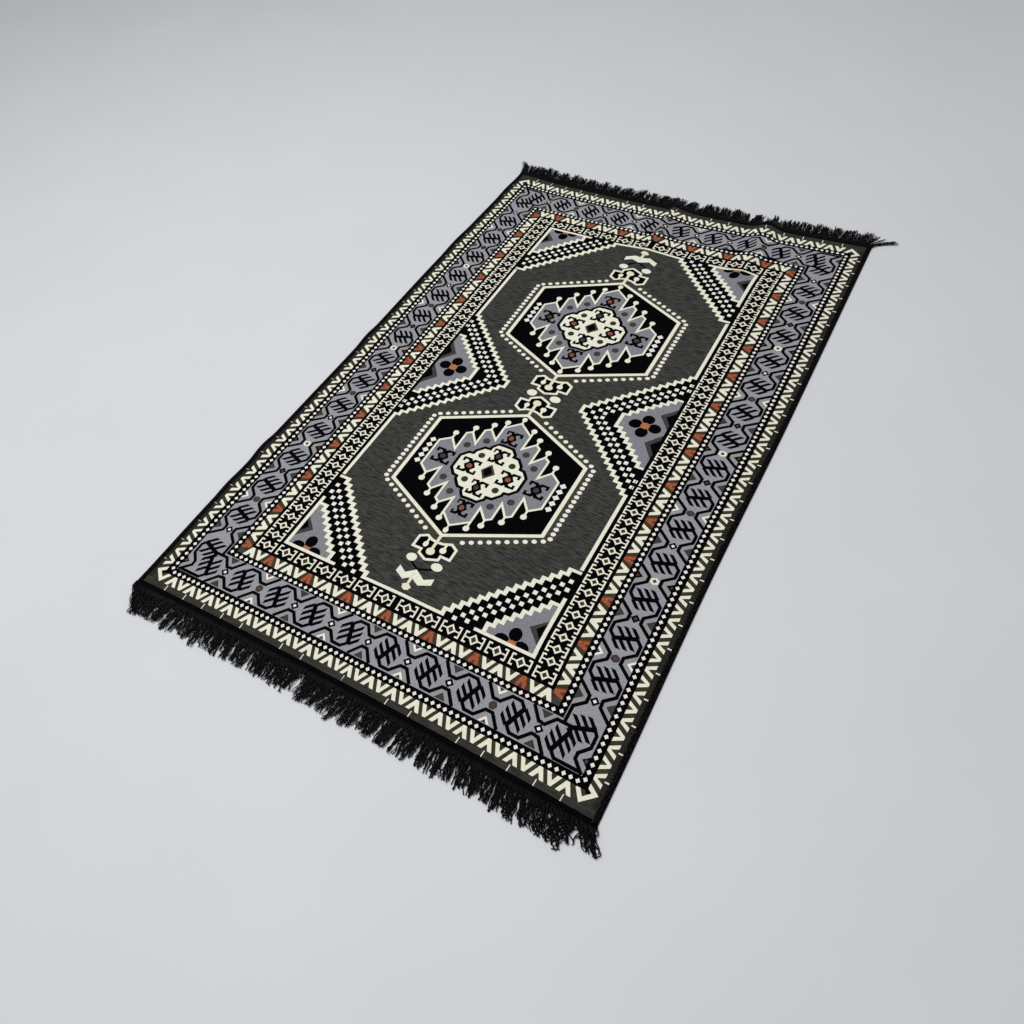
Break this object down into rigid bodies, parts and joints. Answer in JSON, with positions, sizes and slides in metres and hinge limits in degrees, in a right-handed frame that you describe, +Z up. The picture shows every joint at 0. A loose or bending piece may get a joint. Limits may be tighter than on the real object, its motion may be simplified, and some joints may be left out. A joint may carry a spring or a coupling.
{
  "type": "flat-woven kilim rug with fringed ends",
  "caption": "Thin rectangular flat-woven rug with a bordered two-medallion pattern, overcast long edges and a fringe trim at each short end, lying on a floor.",
  "frame": {"origin": "bottom centre of the rug's box, on the floor under the cloth", "axes": "+X across the rug, +Y along it towards the end with the two buckles, +Z up from the floor"},
  "size_m": [1.187, 1.9288, 0.0192],
  "materials": {
    "woven_cloth": "matt jacquard weave in black, cream, lavender grey, charcoal and rust",
    "overcast_yarn": "matt black overcast yarn",
    "fringe_yarn": "soft sheen crimped black yarn"
  },
  "bodies": {
    "root": {"rug_cloth": "woven_cloth", "binding_left": "overcast_yarn", "binding_right": "overcast_yarn", "fringe_near": "fringe_yarn", "fringe_far": "fringe_yarn"}
  },
  "joints": []
}
